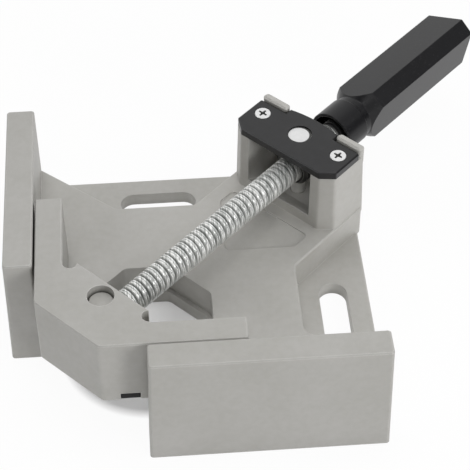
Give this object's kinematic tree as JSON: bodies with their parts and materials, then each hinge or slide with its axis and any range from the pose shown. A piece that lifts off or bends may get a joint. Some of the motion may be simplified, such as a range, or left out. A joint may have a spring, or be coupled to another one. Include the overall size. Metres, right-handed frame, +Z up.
{
  "type": "corner clamp",
  "caption": "Right-angle corner clamp with two fixed fences, an angled moving jaw and a screw spindle that runs through a swivel nut on a raised tower to a black grip.",
  "frame": {"origin": "the clamping corner, where the inner faces of the two fences meet, at the height of the underside", "axes": "+X along the front fence, +Y along the left fence, +Z up from the bench; the spindle lies over the diagonal between +X and +Y"},
  "size_m": [0.1387, 0.1398, 0.0352],
  "materials": {
    "cast_alloy": "fine matt cast surface",
    "black_steel": "satin black coating on steel sheet",
    "zinc_steel": "bright zinc plated",
    "dark_steel": "dark oiled steel",
    "black_plastic": "moulded plastic with a slight sheen"
  },
  "bodies": {
    "base": {"base_casting": "cast_alloy", "cover_plate": "black_steel", "cover_screw_left": "zinc_steel", "cover_screw_right": "zinc_steel"},
    "nut": {"swivel_nut": "dark_steel"},
    "carriage": {"pivot_barrel": "cast_alloy"},
    "screw": {"spindle": "zinc_steel", "retaining_ring": "dark_steel", "handle_grip": "black_plastic"},
    "jaw": {"moving_jaw": "cast_alloy", "keeper_plate": "black_steel", "keeper_screw_left": "zinc_steel", "keeper_screw_right": "zinc_steel"}
  },
  "joints": [
    {"name": "nut_swivel", "type": "hinge", "parent": "base", "child": "nut", "pos_m": [0.0734, 0.0734, 0.0238], "axis": [0, 0, 1], "range_deg": [-0.25, 0.25]},
    {"name": "jaw_travel", "type": "slide", "parent": "nut", "child": "carriage", "axis": [0.7071, 0.7071, 0], "range_m": [0, 0.064]},
    {"name": "spindle_turn", "type": "hinge", "parent": "carriage", "child": "screw", "pos_m": [0.01725, 0.01725, 0.0238], "axis": [0.7071, 0.7071, 0], "range_deg": [0, 11520]},
    {"name": "jaw_swivel", "type": "hinge", "parent": "carriage", "child": "jaw", "pos_m": [0.01725, 0.01725, 0.0238], "axis": [0, 0, 1], "range_deg": [-0.5, 0.5]}
  ],
  "couplings": [
    {"joint": "spindle_turn", "follows": "jaw_travel", "rad_per_m": 3141.6}
  ]
}
